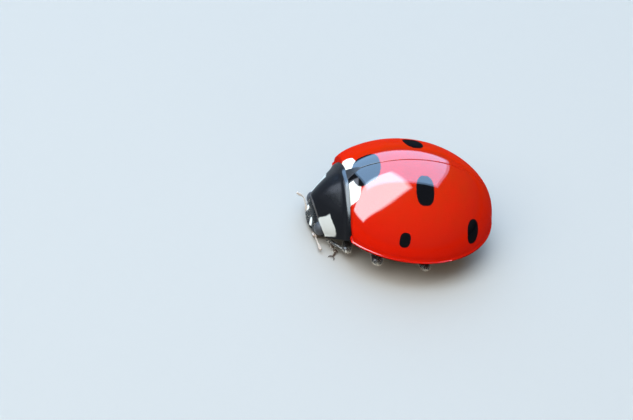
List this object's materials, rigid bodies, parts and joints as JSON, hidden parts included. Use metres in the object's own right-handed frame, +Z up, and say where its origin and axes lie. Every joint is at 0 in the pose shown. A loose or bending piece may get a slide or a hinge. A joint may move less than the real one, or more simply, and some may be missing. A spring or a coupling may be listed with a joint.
{
  "type": "seven-spot ladybird model",
  "caption": "Still, life-size ladybird at rest: domed spotted wing cases, neck shield, head with feelers, and six tucked legs standing on small flat feet.",
  "frame": {"origin": "on the floor, under the middle of the whole animal's box", "axes": "+Z up, head towards -Y, the animal's left side towards +X"},
  "size_m": [0.0058, 0.0074, 0.0035],
  "materials": {
    "wing_case_red": "glossy clear cuticle, orange-red with seven black spots and two pale patches at the base",
    "shield_black": "glossy black cuticle, ivory corner patches on the neck shield",
    "cuticle_black": "satin black cuticle, finely pitted",
    "underside_black": "dull black cuticle with fine pale down",
    "eye": "dark grey faceted",
    "feeler_brown": "translucent brown cuticle",
    "foot_brown": "dark brown cuticle with pale hairs"
  },
  "bodies": {
    "root": {"head": "cuticle_black", "eye_left": "eye", "eye_right": "eye", "labrum": "cuticle_black", "palp_left": "feeler_brown", "palp_right": "feeler_brown", "antenna_left": "feeler_brown", "antenna_right": "feeler_brown", "pronotum": "shield_black", "prothorax": "underside_black", "scutellum": "shield_black", "elytron_left": "wing_case_red", "elytron_right": "wing_case_red", "mesothorax": "underside_black", "metathorax": "underside_black", "abdomen": "underside_black", "coxa_front_left": "cuticle_black", "coxa_front_right": "cuticle_black", "femur_front_left": "cuticle_black", "femur_front_right": "cuticle_black", "tibia_front_left": "cuticle_black", "tibia_front_right": "cuticle_black", "tarsus_front_left": "foot_brown", "tarsus_front_right": "foot_brown", "coxa_middle_left": "cuticle_black", "coxa_middle_right": "cuticle_black", "femur_middle_left": "cuticle_black", "femur_middle_right": "cuticle_black", "tibia_middle_left": "cuticle_black", "tibia_middle_right": "cuticle_black", "tarsus_middle_left": "foot_brown", "tarsus_middle_right": "foot_brown", "coxa_hind_left": "cuticle_black", "coxa_hind_right": "cuticle_black", "femur_hind_left": "cuticle_black", "femur_hind_right": "cuticle_black", "tibia_hind_left": "cuticle_black", "tibia_hind_right": "cuticle_black", "tarsus_hind_left": "foot_brown", "tarsus_hind_right": "foot_brown"}
  },
  "joints": []
}
